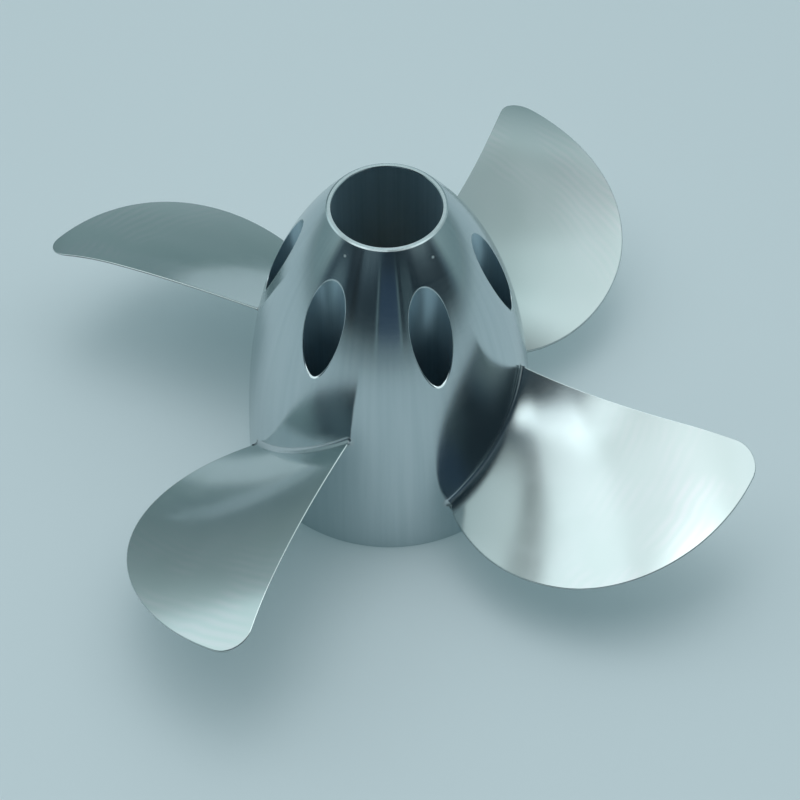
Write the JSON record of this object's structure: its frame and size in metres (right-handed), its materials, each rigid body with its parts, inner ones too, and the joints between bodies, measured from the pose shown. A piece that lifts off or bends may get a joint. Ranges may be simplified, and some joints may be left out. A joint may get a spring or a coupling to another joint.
{
  "type": "boat propeller",
  "caption": "Four-blade right-hand boat propeller with an ogive hub, a ring of round exhaust ports, an open tail bore and a rubber-cushioned splined drive sleeve.",
  "frame": {"origin": "centre of the hub's front face, on the shaft axis, where the propeller stands on a flat surface", "axes": "+Z along the shaft axis from the wide front face aft to the open tail; seen from aft, angles run counter-clockwise from +X, and blade 1 reaches out between 17 and 69 degrees clockwise from +X"},
  "size_m": [0.2566, 0.2566, 0.125],
  "materials": {
    "hub_metal": "fine turned and polished bare aluminium",
    "blade_metal": "machined and polished bare aluminium",
    "weld_metal": "dressed weld, polished to a hollow fillet",
    "shell_steel": "ground steel",
    "cushion_rubber": "moulded black rubber, matte",
    "sleeve_bronze": "machined bronze",
    "ring_steel": "spring steel, lightly oiled"
  },
  "bodies": {
    "propeller": {"hub_body": "hub_metal", "blade_1": "blade_metal", "blade_2": "blade_metal", "blade_3": "blade_metal", "blade_4": "blade_metal", "root_fillet_1": "weld_metal", "root_fillet_2": "weld_metal", "root_fillet_3": "weld_metal", "root_fillet_4": "weld_metal", "cushion_shell": "shell_steel", "rubber_cushion": "cushion_rubber", "retaining_ring": "ring_steel"},
    "drive": {"drive_sleeve": "sleeve_bronze"}
  },
  "joints": [
    {"name": "cushion_windup", "type": "hinge", "parent": "propeller", "child": "drive", "pos_m": [0, 0, 0.0315], "axis": [0, 0, 1], "range_deg": [-10, 10], "stiffness_Nm_per_rad": 300}
  ]
}
